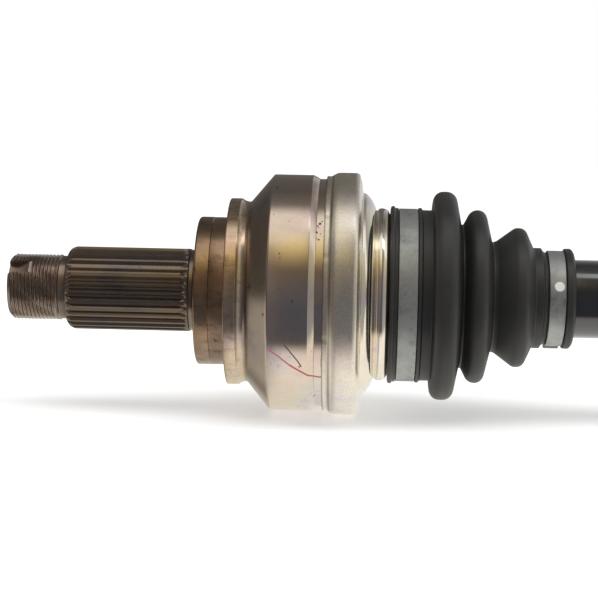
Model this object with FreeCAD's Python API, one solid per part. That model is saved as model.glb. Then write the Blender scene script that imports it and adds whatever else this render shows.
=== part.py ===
import FreeCAD, Part
import math, os
from FreeCAD import Vector

os.makedirs("parts", exist_ok=True)

# Millimetres. The shaft axis is X, the hub shoulder lies at X = 0 and +X runs towards the inner joint
# Stub that passes through the wheel hub
thread_r = 13.5
stub_length = 77.6
stub_chamfer = 2.2
stub_chamfer_drop = 1.4
thread_length = 20.4
relief_depth = 0.5
relief_length = 3.1
slot_width = 6.0
slot_length = 9.5
slot_depth = 3.5
slot_angle = 45.0
centre_hole_r = 3.2
spline_teeth = 30
spline_tip_r = 17.0
spline_tooth = 1.4
spline_nose = 3.8
spline_runout = 3.4
stub_collar = 3.6
collar_drop = 0.4
shoulder_relief = 0.9
shoulder_relief_depth = 0.8

# Steps of the outer joint's forging
boss_r = 30.35
boss_length = 12.5
boss_groove_at = 6.2
flange_r = 38.2
flange_length = 7.9
flange_band = 4.6
flange_neck_drop = 1.2
cone_length = 10.0
bell_wall = 6.8
bell_length = 15.8
waist_depth = 1.5
waist_slope = 2.5
waist_length = 3.0

# Pressed can on the bell
can_step = 1.2
sheet = 1.6
rolled_edge_length = 5.6
rolled_edge_slope = 3.0
rolled_edge_depth = 1.5
can_length = 9.0
dome_r = 41.4
dome_length = 5.3
valley_drop = 1.3
bead_r = 35.3
bead_taper = 0.8
bead_length = 5.0
can_neck_drop = 2.3
can_neck_length = 11.5
seal_thickness = 1.0
seal_width = 5.4
seal_inset = 1.0

# Both ball joints
fit = 0.3
track_gap = 0.5
press = 0.02
outer_setback = 15.6
outer_ball_r = 9.5
outer_circle_r = 32.0
inner_ball_r = 9.0
inner_circle_r = 28.5
cage_outside = 4.0
cage_inside = 0.5
cage_half = 15.2
race_half = 12.5
window_spare = 2.2
cavity_half = 25.0
plunge = 18.0

# Bar between the joints
bar_r = 16.0
bar_spline_r = 13.4
bar_spline_tooth = 0.9
bar_teeth = 24
bar_neck_r = 12.9
bar_overhang = 4.2
spline_length = 36.0
bar_flare_start = 58.0
bar_flare_length = 30.0
clip_wire = 1.3

# Inner joint
shaft_length = 600.0
inner_bell_r = 45.0
inner_mouth_r = 42.4
inner_mouth_length = 17.0
mouth_spare = 25.0
cover_spare = 23.0
inner_flange = 10.0
bolt_circle_r = 47.0
bolt_hole_r = 5.25
bolts = 6
lobe_r = 9.0
scallop_r = 10.0
scallop_out = 1.0
recess_r = 40.3
recess_depth = 3.0
cover_seat_drop = 1.0
cover_sheet = 1.5

# Boots and their clamps
rubber = 2.3
clamp_width = 7.7
clamp_sheet = 0.9
small_clamp_width = 7.1
boot_small_r = 20.4
small_seat_length = 16.5
clamp_setback = 3.4
band_depth = 0.8
small_band_depth = 2.1
lip_rise = 1.0
outer_boot_length = 63.3
first_fold_rise = 7.3
second_fold_rise = 0.1
third_fold_drop = 6.8
inner_boot_length = 96.0
inner_folds = 5
first_crest_drop = 0.5
last_crest_rise = 6.4

# Positions that follow from the sizes above
bell_r = outer_circle_r + outer_ball_r + bell_wall
can_r = bell_r + can_step
spline_start = -(stub_length - thread_length - relief_length)
flange_start = boss_length
cone_start = flange_start + flange_length
bell_start = cone_start + cone_length
waist_start = bell_start + bell_length + waist_slope
can_start = waist_start + waist_length
can_cylinder = can_start + rolled_edge_length
can_shoulder = can_cylinder + can_length
bead_start = can_shoulder + dome_length + 1.0
can_neck_start = bead_start + bead_length
can_neck_r = bead_r - can_neck_drop
valley_r = bead_r - valley_drop
edge_r = can_r - rolled_edge_depth
rolled_start = can_cylinder - rolled_edge_slope
can_end = can_neck_start + can_neck_length
mouth_reach = plunge + mouth_spare
cover_reach = plunge + cover_spare
mouth_x = can_shoulder - sheet - seal_thickness
outer_x = bell_start + outer_setback
end_x = shaft_length - stub_length
inner_x = end_x - recess_depth - cover_sheet - cover_reach
inner_mouth_x = inner_x - mouth_reach
bar_start = outer_x - race_half - bar_overhang
bar_end = inner_x + race_half + bar_overhang
outer_boot_lip = can_neck_start + fit
outer_clamp_x = outer_boot_lip + clamp_setback
outer_clamp_end = outer_clamp_x + clamp_width
outer_boot_end = outer_clamp_end + outer_boot_length
small_clamp_x = outer_boot_end - clamp_setback - small_clamp_width
boot_seat_r = can_neck_r + rubber
outer_band_r = boot_seat_r - band_depth + press
inner_band_r = inner_mouth_r + rubber - band_depth + press
small_band_r = boot_small_r - small_band_depth + fit
inner_boot_lip = inner_mouth_x + inner_mouth_length - 1.5
inner_boot_small = inner_boot_lip - inner_boot_length
inner_clamp_x = inner_boot_lip - clamp_setback - clamp_width
inner_small_clamp_x = inner_boot_small + clamp_setback
spline_root_r = spline_tip_r - spline_tooth
collar_r = spline_tip_r - collar_drop


def outline(corners):
    """Closed face in the XZ plane through (x, r) corners; a third number rounds that corner."""
    pts = [Vector(c[0], 0, c[1]) for c in corners]
    edges, first, last = [], None, None
    for i, p in enumerate(pts):
        start = end = p
        arc = None
        a = (pts[i - 1] - p).normalize()
        b = (pts[(i + 1) % len(pts)] - p).normalize()
        half = a.getAngle(b) / 2
        if len(corners[i]) > 2 and corners[i][2] > 0 and half < 1.55:
            reach = corners[i][2] / math.tan(half)
            start, end = p + a * reach, p + b * reach
            centre = p + (a + b).normalize() * (corners[i][2] / math.sin(half))
            arc = Part.Arc(start, centre + (p - centre).normalize() * corners[i][2], end).toShape()
        if last is not None and (start - last).Length > 1e-6:
            edges.append(Part.makeLine(last, start))
        if arc is not None:
            edges.append(arc)
        first = start if first is None else first
        last = end
    if (first - last).Length > 1e-6:
        edges.append(Part.makeLine(last, first))
    return Part.Face(Part.Wire(edges))


def turned(corners):
    """Solid of revolution about the shaft axis."""
    return outline(corners).revolve(Vector(0, 0, 0), Vector(1, 0, 0), 360)


def ball_zone(x, radius, x0, x1):
    """Slice of a ball centred on the axis at x, between the planes x0 and x1."""
    r0 = math.sqrt(radius**2 - (x0 - x) ** 2)
    r1 = math.sqrt(radius**2 - (x1 - x) ** 2)
    middle = (x0 + x1) / 2
    rm = math.sqrt(radius**2 - (middle - x) ** 2)
    arc = Part.Arc(Vector(x0, 0, r0), Vector(middle, 0, rm), Vector(x1, 0, r1)).toShape()
    rim = [Vector(x1, 0, r1), Vector(x1, 0, 0), Vector(x0, 0, 0), Vector(x0, 0, r0)]
    face = Part.Face(Part.Wire([arc] + Part.makePolygon(rim).Edges))
    return face.revolve(Vector(0, 0, 0), Vector(1, 0, 0), 360)


def tube(x0, x1, r_out, r_in=0.0):
    """Plain cylinder or ring along the axis."""
    solid = Part.makeCylinder(r_out, x1 - x0, Vector(x0, 0, 0), Vector(1, 0, 0))
    if r_in > 0:
        bore = Part.makeCylinder(r_in, x1 - x0 + 2, Vector(x0 - 1, 0, 0), Vector(1, 0, 0))
        solid = solid.cut(bore)
    return solid


def around(shape, degrees):
    """Copy turned about the shaft axis, from straight up."""
    turned_copy = shape.copy()
    turned_copy.rotate(Vector(0, 0, 0), Vector(1, 0, 0), degrees)
    return turned_copy


def tooth_spaces(teeth, root_r, tip_r, x0, x1, runout):
    """Cutters for the spaces of a splined shaft; each one rises out of the bar at its far end."""
    pitch = 2 * math.pi * root_r / teeth
    low, high = 0.17 * pitch, 0.34 * pitch
    top = tip_r + 0.6
    far = x1 + runout

    def section(x, y_low, y_high, z_low):
        ring = [Vector(x, -y_low, z_low), Vector(x, -y_high, top), Vector(x, y_high, top)]
        ring += [Vector(x, y_low, z_low), Vector(x, -y_low, z_low)]
        return Part.makePolygon(ring)

    straight = Part.makeLoft([section(x0, low, high, root_r), section(x1, low, high, root_r)], True, True)
    rising = Part.makeLoft([section(x1, low, high, root_r), section(far, low, high, top - 0.3)], True, True)
    one = straight.fuse(rising)
    return [around(one, 360.0 * i / teeth) for i in range(teeth)]


def track_arcs(x, circle_r, track_r, x0, x1):
    """Six ball tracks as arcs centred on the joint, cut off square at x0 and x1."""
    keep = tube(x0, x1, circle_r + track_r + 5)
    start = Part.Face(Part.Wire(Part.makeCircle(track_r, Vector(x, 0, circle_r), Vector(1, 0, 0))))
    start.rotate(Vector(x, 0, 0), Vector(0, 1, 0), -48)
    arc = start.revolve(Vector(x, 0, 0), Vector(0, 1, 0), 96).common(keep)
    return [around(arc, 60.0 * i) for i in range(6)]


def windows(x, ball_r, circle_r):
    """Cutters for the six cage windows: as wide as the ball along the axis, longer around it."""
    half_x = ball_r + fit
    half_y = ball_r + window_spare
    block = Part.makeBox(2 * half_x, 2 * half_y, circle_r, Vector(x - half_x, -half_y, circle_r * 0.55))
    upright = [e for e in block.Edges if abs(e.Vertexes[0].Z - e.Vertexes[1].Z) > 1]
    block = block.makeFillet(ball_r * 0.45, upright)
    return [around(block, 60.0 * i) for i in range(6)]


# Outer joint housing, the wheel stub and the ball bell forged in one piece
def outer_housing():
    x = spline_start
    groove = 0.4
    relief_out = spline_tip_r + shoulder_relief
    lean = sheet * math.tan(math.atan2(rolled_edge_depth, rolled_edge_slope) / 2) + fit
    under = edge_r - sheet - press
    body = turned([
        (-stub_length, 0), (-stub_length, thread_r - stub_chamfer_drop), (-stub_length + stub_chamfer, thread_r),
        (-stub_length + thread_length, thread_r), (x - relief_length + relief_depth, thread_r - relief_depth),
        (x, thread_r - relief_depth), (x, spline_tip_r, spline_nose), (-stub_collar, spline_tip_r),
        (-stub_collar + 0.8, collar_r, 0.5), (-1.5, collar_r, 0.6), (-0.8, collar_r - 0.5, 0.3),
        (shoulder_relief_depth, collar_r - 0.5, 0.3), (shoulder_relief_depth, relief_out, 0.3),
        (0, relief_out), (0, boss_r, 1.0), (boss_groove_at - groove, boss_r),
        (boss_groove_at, boss_r - groove), (boss_groove_at + groove, boss_r - 0.1),
        (flange_start, boss_r - 0.1, 0.4), (flange_start, flange_r, 0.5),
        (flange_start + flange_band, flange_r, 0.3), (cone_start - 0.9, flange_r - flange_neck_drop + 0.2, 0.3),
        (cone_start - 0.5, flange_r - flange_neck_drop), (cone_start + 0.8, flange_r - flange_neck_drop + 0.1, 0.9),
        (bell_start, bell_r, 1.0), (waist_start - waist_slope, bell_r, 0.6),
        (waist_start, bell_r - waist_depth), (can_start - 0.2, bell_r - waist_depth),
        (can_start - 0.2, under), (rolled_start + lean, under), (can_cylinder + lean, can_r - sheet - press, 2.0),
        (mouth_x, can_r - sheet - press, 1.0), (mouth_x, 0),
    ])
    cage_r = outer_circle_r + cage_outside
    cavity = ball_zone(outer_x, cage_r + fit, outer_x - cavity_half, outer_x + cage_half)
    lip_r = math.sqrt((cage_r + fit) ** 2 - cage_half**2)
    mouth = turned([
        (outer_x + cage_half - 0.5, 0), (outer_x + cage_half - 0.5, lip_r), (outer_x + cage_half, lip_r),
        (mouth_x + 1, lip_r + 2.5), (mouth_x + 1, 0),
    ])
    tracks = track_arcs(outer_x, outer_circle_r, outer_ball_r + track_gap, outer_x - cavity_half, mouth_x + 1)
    teeth = tooth_spaces(
        spline_teeth, spline_root_r, spline_tip_r, x - 1.0, -stub_collar - spline_runout, spline_runout
    )
    return body.cut([cavity, mouth] + tracks).cut(teeth).cut([staking_slot(), centre_hole(-stub_length, 1)])


def staking_slot():
    """Slot that the hub nut's rim is punched into: a disc cutter's path, deep at the end, running out."""
    lead = 2.4
    half_sum = slot_length + lead
    cutter_r = 23.0
    for _ in range(40):
        rise = math.sqrt(cutter_r**2 - lead**2) - math.sqrt(cutter_r**2 - half_sum**2)
        cutter_r *= rise / slot_depth if abs(rise - slot_depth) > 1e-6 else 1.0
    height = thread_r + math.sqrt(cutter_r**2 - half_sum**2)
    base = Vector(-stub_length - lead, -slot_width / 2, height)
    disc = Part.makeCylinder(cutter_r, slot_width, base, Vector(0, 1, 0))
    return around(disc, 90.0 - slot_angle)


def centre_hole(x, inward):
    """Lathe centre: a 60 degree cone with a short pilot hole."""
    depth = centre_hole_r / math.tan(math.radians(30))
    pilot = centre_hole_r * 0.45
    return turned([
        (x - inward * 0.5, 0), (x - inward * 0.5, centre_hole_r + 0.29), (x, centre_hole_r),
        (x + inward * (depth - pilot / math.tan(math.radians(30))), pilot), (x + inward * depth, pilot),
        (x + inward * depth, 0),
    ])


def shell(outer, thickness):
    """Sheet ring: the open outer path, closed by the same path moved inwards by the thickness."""
    pts = [Vector(p[0], 0, p[1]) for p in outer]
    moved = []
    for i, p in enumerate(pts):
        dirs = []
        if i > 0:
            dirs.append((p - pts[i - 1]).normalize())
        if i < len(pts) - 1:
            dirs.append((pts[i + 1] - p).normalize())
        normals = [Vector(d.z, 0, -d.x) for d in dirs]
        total = normals[0] if len(normals) == 1 else (normals[0] + normals[1]).normalize()
        step = thickness / max(total.dot(normals[0]), 0.35)
        rounding = outer[i][2] if len(outer[i]) > 2 and len(dirs) == 2 else 0.0
        bend = 0.0 if len(dirs) < 2 else dirs[0].x * dirs[1].z - dirs[0].z * dirs[1].x
        inner_round = max(rounding - thickness, 0.25) if bend < 0 else rounding + thickness
        inner_round = inner_round if rounding > 0 else 0.0
        moved.append((p.x + total.x * step, p.z + total.z * step, inner_round))
    ends = [(outer[0][0], outer[0][1])], [(outer[-1][0], outer[-1][1])]
    return turned(ends[0] + list(outer[1:-1]) + ends[1] + moved[::-1])


# Pressed steel can that closes the bell and carries the boot
def outer_can():
    edge = can_start + 0.05
    path = [
        (edge, edge_r), (rolled_start, edge_r, 1.0), (can_cylinder, can_r, 1.0), (can_shoulder, can_r, 2.2),
        (can_shoulder + 0.5, dome_r, 0.6),
    ]
    steps = 5
    for i in range(1, steps):
        turn = math.radians(90.0 * i / steps)
        path.append((can_shoulder + 0.5 + (dome_length - 0.3) * math.sin(turn),
                     valley_r + (dome_r - valley_r) * math.cos(turn) ** 0.9, 1.0))
    path += [
        (bead_start - 0.4, valley_r, 0.4), (bead_start + 0.5, bead_r, 0.5),
        (bead_start + 0.45 * bead_length, bead_r, 2.0),
        (can_neck_start - 0.3, bead_r - bead_taper, 0.3), (can_neck_start, can_neck_r, 0.8), (can_end, can_neck_r),
    ]
    return shell(path, sheet)


def seal_ring():
    ring_r = can_r - sheet - seal_inset
    return tube(mouth_x, mouth_x + seal_thickness, ring_r, ring_r - seal_width)


# Parts inside a ball joint
def cage(x, ball_r, circle_r):
    solid = ball_zone(x, circle_r + cage_outside, x - cage_half, x + cage_half)
    bore = ball_zone(x, circle_r - cage_inside, x - cage_half, x + cage_half)
    ends = math.sqrt((circle_r - cage_inside) ** 2 - cage_half**2)
    mouths = tube(x - cage_half - 1, x + cage_half + 1, ends)
    return solid.cut([bore, mouths]).cut(windows(x, ball_r, circle_r))


def race(x, ball_r, circle_r, towards):
    solid = ball_zone(x, circle_r - cage_inside - fit, x - race_half, x + race_half)
    solid = solid.cut(track_arcs(x, circle_r, ball_r + track_gap, x - race_half - 1, x + race_half + 1))
    bore = bar_spline(x - race_half - 2, x + race_half + 2, press)
    clip = tube(x - towards * race_half - 0.9, x - towards * race_half + 0.9, bar_spline_r + 1.3)
    return solid.cut([bore]).cut(clip)


def bar_spline(x0, x1, grow):
    """Splined length of the bar as a star-shaped prism."""
    ring = []
    root = bar_spline_r - bar_spline_tooth
    for i in range(bar_teeth):
        for share, r in ((-0.34, root), (-0.18, bar_spline_r), (0.18, bar_spline_r), (0.34, root)):
            a = 2 * math.pi * (i + share) / bar_teeth
            ring.append(Vector(x0, (r + grow) * math.sin(a), (r + grow) * math.cos(a)))
    return Part.Face(Part.makePolygon(ring + ring[:1])).extrude(Vector(x1 - x0, 0, 0))


def ball(x, ball_r, circle_r, index):
    return around(Part.makeSphere(ball_r, Vector(x, 0, circle_r)), 60.0 * index)


def circlip(x):
    """Open round-wire ring in the bar's end groove, behind the race."""
    ring = Part.makeTorus(bar_spline_r - 0.25, clip_wire / 2, Vector(x, 0, 0), Vector(1, 0, 0))
    gap = Part.makeBox(6, 5, 30, Vector(x - 3, -2.5, 0))
    return ring.cut(gap)


def clip_x(x, towards):
    return x - towards * (race_half + clip_wire / 2 + 0.1)


# Bar, with a spline, a clip groove and a necked length at both ends
def bar():
    left, right = bar_start, bar_end
    out_flare, in_flare = outer_x + bar_flare_start, inner_x - bar_flare_start
    core_r = bar_spline_r - bar_spline_tooth - 0.05
    seat = 0.35
    boot_x = outer_boot_end - small_seat_length / 2
    boot_xi = inner_boot_small + small_seat_length / 2
    body = turned([
        (left, 0), (left, bar_spline_r - 1.6), (left + 1.2, core_r), (left + spline_length, core_r),
        (left + spline_length + 0.6, bar_neck_r, 2.0),
        (out_flare, bar_neck_r, 20), (out_flare + bar_flare_length, bar_r, 20),
        (boot_x - 3, bar_r), (boot_x - 2.6, bar_r - seat), (boot_x + 2.6, bar_r - seat), (boot_x + 3, bar_r),
        (boot_xi - 3, bar_r), (boot_xi - 2.6, bar_r - seat), (boot_xi + 2.6, bar_r - seat), (boot_xi + 3, bar_r),
        (in_flare - bar_flare_length, bar_r, 20), (in_flare, bar_neck_r, 20),
        (right - spline_length - 0.6, bar_neck_r, 2.0), (right - spline_length, core_r),
        (right - 1.2, core_r), (right, bar_spline_r - 1.6), (right, 0),
    ])
    splines = bar_spline(left + 1.2, left + spline_length, 0).fuse(bar_spline(right - spline_length, right - 1.2, 0))
    grooves = []
    for x in (clip_x(outer_x, 1), clip_x(inner_x, -1)):
        half = clip_wire / 2 + 0.05
        grooves.append(tube(x - half, x + half, bar_spline_r + 1, bar_spline_r - 0.25 - clip_wire / 2 - 0.05))
    return body.fuse(splines).cut(grooves + [centre_hole(left, 1), centre_hole(right, -1)])


# Rubber boots
def outer_boot():
    x = outer_clamp_end
    neck_r = boot_small_r
    seat = boot_small_r - small_band_depth
    band_end = small_clamp_x + small_clamp_width
    first, second, third = (boot_seat_r + r for r in (first_fold_rise, second_fold_rise, -third_fold_drop))
    root_1, root_2 = (third + second) / 2 - 4.05, neck_r + 1.9

    def at(share):
        return x + share * outer_boot_length

    path = [
        (outer_boot_lip, boot_seat_r + lip_rise, 0.5), (outer_clamp_x - 0.3, boot_seat_r + lip_rise, 0.5),
        (outer_clamp_x, boot_seat_r - band_depth), (x, boot_seat_r - band_depth),
        (x + 0.3, boot_seat_r + 0.5, 0.3), (x + 1.6, boot_seat_r + 0.5, 0.4), (x + 2.0, boot_seat_r - 0.4, 0.3),
        (at(0.0935), boot_seat_r - 0.4, 0.8), (at(0.101), first, 4.2), (at(0.2385), first, 4.2),
        (at(0.283), root_1, 0.7), (at(0.3445), second, 3.6), (at(0.43), second, 3.6), (at(0.482), root_2, 0.7),
        (at(0.510), root_2 + 0.6, 2.0), (at(0.630), third, 2.8), (at(0.689), third - 0.2, 2.8),
        (at(0.744), neck_r + 0.1, 0.8), (at(0.80), neck_r + 0.1, 0.3), (at(0.81), seat),
        (band_end + 0.4, seat), (band_end + 0.7, neck_r, 0.6),
        (outer_boot_end - 0.8, neck_r, 1.2), (outer_boot_end, bar_r + fit + 0.6),
    ]
    solid = shell(path, rubber)
    return seat_boot(solid, path, can_neck_r, outer_boot_lip, can_end + 0.6, small_clamp_x - 3.0, outer_boot_end)


def seat_boot(solid, path, neck_r, lip_x, neck_end, seat_x, seat_end):
    """Fill the boot down to the neck at its wide end and down to the bar at its narrow end."""
    low, high = min(lip_x, neck_end), max(lip_x, neck_end)
    wide = turned(clipped(path, low, high) + [(high, neck_r + press), (low, neck_r + press)])
    low, high = min(seat_x, seat_end), max(seat_x, seat_end)
    near = turned(clipped(path, low, high) + [(high, bar_r + fit), (low, bar_r + fit)])
    bar_room = tube(low - 40, high + 40, bar_r + fit)
    outwards = 5 if lip_x > neck_end else -5
    room = sorted((neck_end, lip_x + outwards))
    neck_room = tube(room[0], room[1], neck_r + press)
    solid = max(solid.cut([neck_room, bar_room]).Solids, key=lambda piece: piece.Volume)
    return solid.fuse([wide, near]).removeSplitter()


def clipped(path, low, high):
    """Part of a path between two planes, with its ends put on them."""
    def r_at(x):
        for a, b in zip(path, path[1:]):
            if min(a[0], b[0]) <= x <= max(a[0], b[0]) and abs(a[0] - b[0]) > 1e-9:
                return a[1] + (b[1] - a[1]) * (x - a[0]) / (b[0] - a[0])
        return path[0][1] if abs(x - path[0][0]) < abs(x - path[-1][0]) else path[-1][1]

    ordered = sorted([p for p in path if low + 0.01 < p[0] < high - 0.01], key=lambda p: p[0])
    return [(low, r_at(low))] + [(p[0], p[1], *p[2:]) for p in ordered] + [(high, r_at(high))]


def inner_boot():
    """Mirror layout of the outer boot, with more and even folds for the plunge."""
    seat_r = inner_mouth_r + rubber
    x = inner_clamp_x
    path = [
        (inner_boot_lip, seat_r + lip_rise, 0.5), (x + clamp_width + 0.3, seat_r + lip_rise, 0.5),
        (x + clamp_width, seat_r - band_depth), (x, seat_r - band_depth), (x - 0.4, seat_r + 0.4, 0.3),
        (x - 3.0, seat_r + 0.2, 1.0),
    ]
    first, last = x - 4.0, inner_small_clamp_x + small_clamp_width + 7.0
    pitch = (first - last) / inner_folds
    slope = (seat_r - first_crest_drop - boot_small_r - last_crest_rise) / (inner_folds - 1)
    for i in range(inner_folds):
        crest = seat_r - first_crest_drop - slope * i
        a = first - pitch * i
        root = crest - 10.5 if i < inner_folds - 1 else boot_small_r
        path += [(a - pitch * 0.18, crest, pitch * 0.18), (a - pitch * 0.52, crest, pitch * 0.18)]
        path += [(a - pitch * 0.86, root, pitch * 0.09), (a - pitch * 1.0, root, pitch * 0.07)]
    neck_r = boot_small_r
    seat = boot_small_r - small_band_depth
    path += [
        (inner_small_clamp_x + small_clamp_width + 0.7, neck_r, 0.5),
        (inner_small_clamp_x + small_clamp_width + 0.4, seat), (inner_small_clamp_x - 0.4, seat),
        (inner_small_clamp_x - 0.7, neck_r, 0.6), (inner_boot_small + 0.8, neck_r, 1.6),
        (inner_boot_small, bar_r + fit + 0.6),
    ]
    path = path[::-1]
    solid = shell(path, rubber)
    return seat_boot(
        solid, path, inner_mouth_r, inner_boot_lip, inner_mouth_x - 0.6,
        inner_small_clamp_x + small_clamp_width + 3.0, inner_boot_small,
    )


def clamp(x, width, inner_r, ear, turn):
    """Band clamp: rolled strip with an overlap step and a pinched ear."""
    band = tube(x, x + width, inner_r + clamp_sheet, inner_r)
    lap = tube(x + width * 0.12, x + width * 0.88, inner_r + 2 * clamp_sheet, inner_r + clamp_sheet)
    wedge = Part.makeBox(width, ear * 4.6, 80, Vector(x, -ear * 2.3, 0))
    legs = Part.makeBox(width, ear * 1.1, ear * 1.35 + clamp_sheet, Vector(x, -ear * 0.55, inner_r + 0.4))
    legs = legs.makeFillet(ear * 0.4, [e for e in legs.Edges if e.Vertexes[0].Z > inner_r + ear and
                                       e.Vertexes[1].Z > inner_r + ear and
                                       abs(e.Vertexes[0].X - e.Vertexes[1].X) > 1])
    pinch = tube(x - 1, x + width + 1, ear * 0.24)
    pinch.translate(Vector(0, 0, inner_r + clamp_sheet + ear * 0.45))
    return around(band.fuse([lap.common(wedge), legs]).cut(pinch).removeSplitter(), turn)


# Inner joint housing: six straight tracks, a waisted bell and a six-lobed flange
def inner_housing():
    bore_r = inner_circle_r + cage_outside + fit
    flange_x = end_x - inner_flange
    seat_end = inner_mouth_x + inner_mouth_length
    body = turned([
        (inner_mouth_x, 0), (inner_mouth_x, inner_mouth_r, 0.8), (seat_end, inner_mouth_r, 0.8),
        (seat_end, inner_bell_r, 1.5), (end_x, inner_bell_r, 0.8), (end_x, 0),
    ])
    notch = tube(0, flange_x - seat_end - 7, scallop_r).fuse(Part.makeSphere(scallop_r))
    notch.translate(Vector(seat_end + 7, 0, bolt_circle_r + scallop_out))
    lobe = Part.makeCylinder(lobe_r, inner_flange, Vector(flange_x, 0, bolt_circle_r), Vector(1, 0, 0))
    web = [Vector(flange_x, side * y, z) for side, y, z in (
        (-1, lobe_r + 7, bolt_circle_r - 10), (-1, lobe_r - 0.5, bolt_circle_r + 2),
        (1, lobe_r - 0.5, bolt_circle_r + 2), (1, lobe_r + 7, bolt_circle_r - 10))]
    web = Part.Face(Part.makePolygon(web + web[:1])).extrude(Vector(inner_flange, 0, 0))
    lobe = lobe.fuse(web)
    hole = Part.makeCylinder(bolt_hole_r, inner_flange + 4, Vector(flange_x - 2, 0, bolt_circle_r), Vector(1, 0, 0))
    half = 180.0 / bolts
    turns = [360.0 * i / bolts + half for i in range(bolts)]
    body = body.cut([around(notch, t) for t in turns]).fuse([around(lobe, t) for t in turns])
    bore = tube(inner_mouth_x - 1, end_x + 1, bore_r)
    track_r = inner_ball_r + track_gap
    track = tube(inner_mouth_x - 1, end_x + 1, track_r)
    track.translate(Vector(0, 0, inner_circle_r))
    recess = tube(end_x - recess_depth, end_x + 1, recess_r)
    seat = tube(end_x - recess_depth - cover_sheet, end_x, recess_r - cover_seat_drop)
    mouth = turned([
        (inner_mouth_x - 1, 0), (inner_mouth_x - 1, bore_r + 3.5), (inner_mouth_x + 2.5, bore_r),
        (inner_mouth_x + 2.5, 0),
    ])
    ring_x = inner_mouth_x + 5.0
    ring_groove = tube(ring_x - clip_wire, ring_x + clip_wire, bore_r + clip_wire)
    cuts = [bore, recess, seat, mouth, ring_groove] + [around(track, 60.0 * i) for i in range(6)]
    return body.cut(cuts + [around(hole, t) for t in turns]).removeSplitter()


def end_cover():
    """Pressed cover in the flange recess, dished inwards so that the recess stays free."""
    x = end_x - recess_depth - cover_sheet
    r = recess_r - cover_seat_drop - press
    dish = x - 1.6
    path = [(x, r, 0.3), (x, r * 0.66, 1.5), (dish, r * 0.6, 1.5), (dish, 0)]
    back = [(dish + cover_sheet, 0), (dish + cover_sheet, r * 0.6, 1.5), (x + cover_sheet, r * 0.66, 1.5),
            (x + cover_sheet, r)]
    return turned(path + back)


def stop_ring():
    """Open wire ring in the bore near the mouth that keeps the balls in."""
    bore_r = inner_circle_r + cage_outside + fit
    x = inner_mouth_x + 5.0
    ring = Part.makeTorus(bore_r + clip_wire - clip_wire * 0.85, clip_wire * 0.83, Vector(x, 0, 0), Vector(1, 0, 0))
    return ring.cut(Part.makeBox(8, 6, 60, Vector(x - 4, -3, 0)))


parts = {
    "outer_joint_housing": outer_housing(),
    "outer_can": outer_can(),
    "outer_seal_ring": seal_ring(),
    "outer_cage": cage(outer_x, outer_ball_r, outer_circle_r),
    "outer_inner_race": race(outer_x, outer_ball_r, outer_circle_r, 1),
    "outer_circlip": circlip(clip_x(outer_x, 1)),
    "outer_boot": outer_boot(),
    "outer_boot_large_clamp": clamp(outer_clamp_x, clamp_width, outer_band_r, 3.0, -60),
    "outer_boot_small_clamp": clamp(small_clamp_x, small_clamp_width, small_band_r, 2.0, 195),
    "bar_shaft": bar(),
    "inner_joint_housing": inner_housing(),
    "inner_end_cover": end_cover(),
    "inner_cage": cage(inner_x, inner_ball_r, inner_circle_r),
    "inner_race": race(inner_x, inner_ball_r, inner_circle_r, -1),
    "inner_circlip": circlip(clip_x(inner_x, -1)),
    "inner_stop_ring": stop_ring(),
    "inner_boot": inner_boot(),
    "inner_boot_large_clamp": clamp(inner_clamp_x, clamp_width, inner_band_r, 3.0, -60),
    "inner_boot_small_clamp": clamp(inner_small_clamp_x, small_clamp_width, small_band_r, 2.0, 195),
}
for i in range(6):
    parts["outer_ball_%d" % (i + 1)] = ball(outer_x, outer_ball_r, outer_circle_r, i)
    parts["inner_ball_%d" % (i + 1)] = ball(inner_x, inner_ball_r, inner_circle_r, i)

for name, shape in parts.items():
    box = shape.BoundBox
    print("%-26s solids %d valid %s vol %8.0f x %.1f..%.1f z %.1f..%.1f" % (
        name, len(shape.Solids), shape.isValid(), shape.Volume, box.XMin, box.XMax, box.ZMin, box.ZMax))
    shape.exportStep("parts/%s.step" % name)
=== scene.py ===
import math

import bpy
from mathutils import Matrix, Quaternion, Vector


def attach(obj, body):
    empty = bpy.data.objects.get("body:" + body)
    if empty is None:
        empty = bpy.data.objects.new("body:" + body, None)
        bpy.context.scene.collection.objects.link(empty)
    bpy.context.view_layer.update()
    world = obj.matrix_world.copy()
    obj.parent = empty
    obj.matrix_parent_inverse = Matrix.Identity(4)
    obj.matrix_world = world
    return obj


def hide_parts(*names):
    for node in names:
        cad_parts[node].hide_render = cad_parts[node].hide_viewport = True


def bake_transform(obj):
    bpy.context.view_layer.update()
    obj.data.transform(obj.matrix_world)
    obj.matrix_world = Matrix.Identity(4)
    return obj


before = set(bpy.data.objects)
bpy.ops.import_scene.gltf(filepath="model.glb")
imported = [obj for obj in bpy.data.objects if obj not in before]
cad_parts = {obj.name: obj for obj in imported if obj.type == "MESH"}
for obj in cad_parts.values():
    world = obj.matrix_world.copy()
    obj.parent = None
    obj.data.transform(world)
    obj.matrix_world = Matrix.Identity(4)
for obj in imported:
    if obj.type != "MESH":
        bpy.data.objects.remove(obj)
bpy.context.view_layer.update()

# The bar between the joints: one forged and turned length of steel, splined at both ends,
# thinner inside the joints, thicker between the boots, dipped in gloss black paint.
MM = 0.001
OUTER_CENTRE = 46.0
INNER_CENTRE = 476.9


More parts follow.
